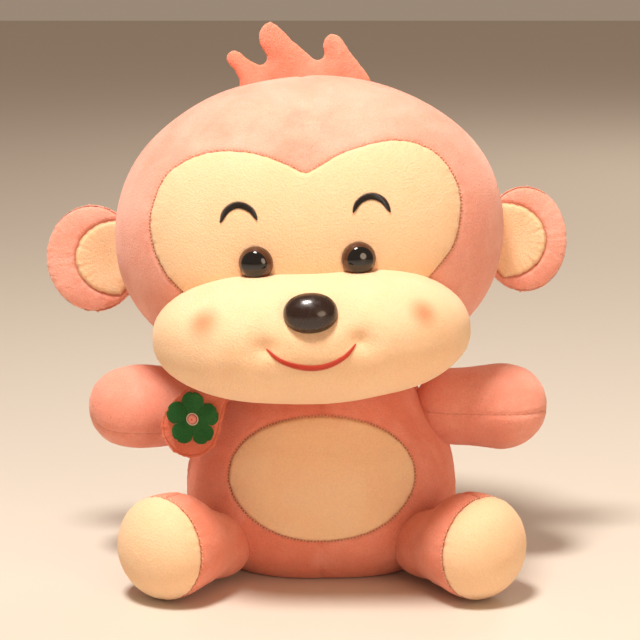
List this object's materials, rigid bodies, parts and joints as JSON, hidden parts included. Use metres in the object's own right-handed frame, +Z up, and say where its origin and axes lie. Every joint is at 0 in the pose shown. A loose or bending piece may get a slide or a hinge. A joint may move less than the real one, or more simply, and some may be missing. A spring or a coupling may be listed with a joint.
{
  "type": "stuffed animal",
  "caption": "Sitting plush monkey with a big round head, padded muzzle, outstretched arms, cream belly and soles, a hair tuft and a flower tab at the neck.",
  "frame": {"origin": "on the flat seat under the body, below the neck", "axes": "+Z up, the face looks along -Y, +X is the monkey's own left"},
  "size_m": [0.3421, 0.2375, 0.3495],
  "materials": {
    "pink_plush": "short velvety nap",
    "cream_plush": "short velvety nap",
    "white_fibre": "loose fibre",
    "black_gloss_plastic": "polished",
    "brown_gloss_plastic": "polished",
    "clear_plastic": "moulded",
    "black_thread": "satin stitch",
    "red_thread": "satin stitch",
    "green_felt": "felt"
  },
  "bodies": {
    "torso": {"belly_patch": "cream_plush", "torso_back": "pink_plush", "torso_front_left": "pink_plush", "torso_front_right": "pink_plush", "torso_stuffing": "white_fibre"},
    "neck": {"neck_stuffing": "pink_plush"},
    "head": {"brow_left": "black_thread", "brow_right": "black_thread", "eye_left": "black_gloss_plastic", "eye_right": "black_gloss_plastic", "eye_washer_left": "clear_plastic", "eye_washer_right": "clear_plastic", "face_patch": "cream_plush", "head_back_left": "pink_plush", "head_back_right": "pink_plush", "head_front_left": "pink_plush", "head_front_right": "pink_plush", "head_stuffing": "white_fibre", "mouth_stitches": "red_thread", "muzzle_cover": "cream_plush", "muzzle_stuffing": "white_fibre", "nose": "brown_gloss_plastic", "nose_washer": "clear_plastic"},
    "tuft": {"tuft_back": "pink_plush", "tuft_front": "pink_plush", "tuft_stuffing": "white_fibre"},
    "tab": {"flower_centre": "red_thread", "flower_petals": "green_felt", "tab_back": "pink_plush", "tab_front": "pink_plush"},
    "ear_left": {"ear_cover_left": "pink_plush", "ear_inner_left": "cream_plush", "ear_padding_left": "white_fibre"},
    "arm_left": {"arm_lower_left": "pink_plush", "arm_stuffing_left": "white_fibre", "arm_upper_left": "pink_plush"},
    "leg_left": {"leg_inner_left": "pink_plush", "leg_outer_left": "pink_plush", "leg_stuffing_left": "white_fibre", "sole_left": "cream_plush"},
    "ear_right": {"ear_cover_right": "pink_plush", "ear_inner_right": "cream_plush", "ear_padding_right": "white_fibre"},
    "arm_right": {"arm_lower_right": "pink_plush", "arm_stuffing_right": "white_fibre", "arm_upper_right": "pink_plush"},
    "leg_right": {"leg_inner_right": "pink_plush", "leg_outer_right": "pink_plush", "leg_stuffing_right": "white_fibre", "sole_right": "cream_plush"}
  },
  "joints": [
    {"name": "neck_turn", "type": "hinge", "parent": "torso", "child": "neck", "pos_m": [-0.002, -0.004, 0.121], "axis": [0, 0, 1], "range_deg": [-15, 15], "stiffness_Nm_per_rad": 1},
    {"name": "neck_nod", "type": "hinge", "parent": "neck", "child": "head", "pos_m": [-0.002, -0.004, 0.121], "axis": [1, 0, 0], "range_deg": [-12, 5], "stiffness_Nm_per_rad": 2},
    {"name": "arm_left_raise", "type": "hinge", "parent": "torso", "child": "arm_left", "pos_m": [0.084, -0.01, 0.104], "axis": [0, -1, 0], "range_deg": [-10, 30], "stiffness_Nm_per_rad": 0.4},
    {"name": "arm_right_raise", "type": "hinge", "parent": "torso", "child": "arm_right", "pos_m": [-0.084, -0.01, 0.104], "axis": [0, 1, 0], "range_deg": [-10, 30], "stiffness_Nm_per_rad": 0.4},
    {"name": "leg_left_lift", "type": "hinge", "parent": "torso", "child": "leg_left", "pos_m": [0.07, -0.06, 0.033], "axis": [-0.788, -0.6157, 0], "range_deg": [0, 20], "stiffness_Nm_per_rad": 0.5},
    {"name": "ear_left_fold", "type": "hinge", "parent": "head", "child": "ear_left", "pos_m": [0.11653, 0.012, 0.20814], "axis": [0.0454, 0, -0.999], "range_deg": [-15, 15], "stiffness_Nm_per_rad": 0.12},
    {"name": "leg_right_lift", "type": "hinge", "parent": "torso", "child": "leg_right", "pos_m": [-0.07, -0.06, 0.033], "axis": [-0.788, 0.6157, 0], "range_deg": [0, 20], "stiffness_Nm_per_rad": 0.5},
    {"name": "ear_right_fold", "type": "hinge", "parent": "head", "child": "ear_right", "pos_m": [-0.13121, 0.012, 0.19689], "axis": [-0.0454, 0, 0.999], "range_deg": [-15, 15], "stiffness_Nm_per_rad": 0.12},
    {"name": "tuft_bend", "type": "hinge", "parent": "head", "child": "tuft", "pos_m": [-0.0124, -0.006, 0.3139], "axis": [0.999, 0, 0.0454], "range_deg": [-15, 15], "stiffness_Nm_per_rad": 0.08},
    {"name": "tab_flap", "type": "hinge", "parent": "torso", "child": "tab", "pos_m": [-0.07, -0.058, 0.1225], "axis": [-0.8567, 0.2136, 0.4695], "range_deg": [0, 30], "stiffness_Nm_per_rad": 0.02}
  ]
}
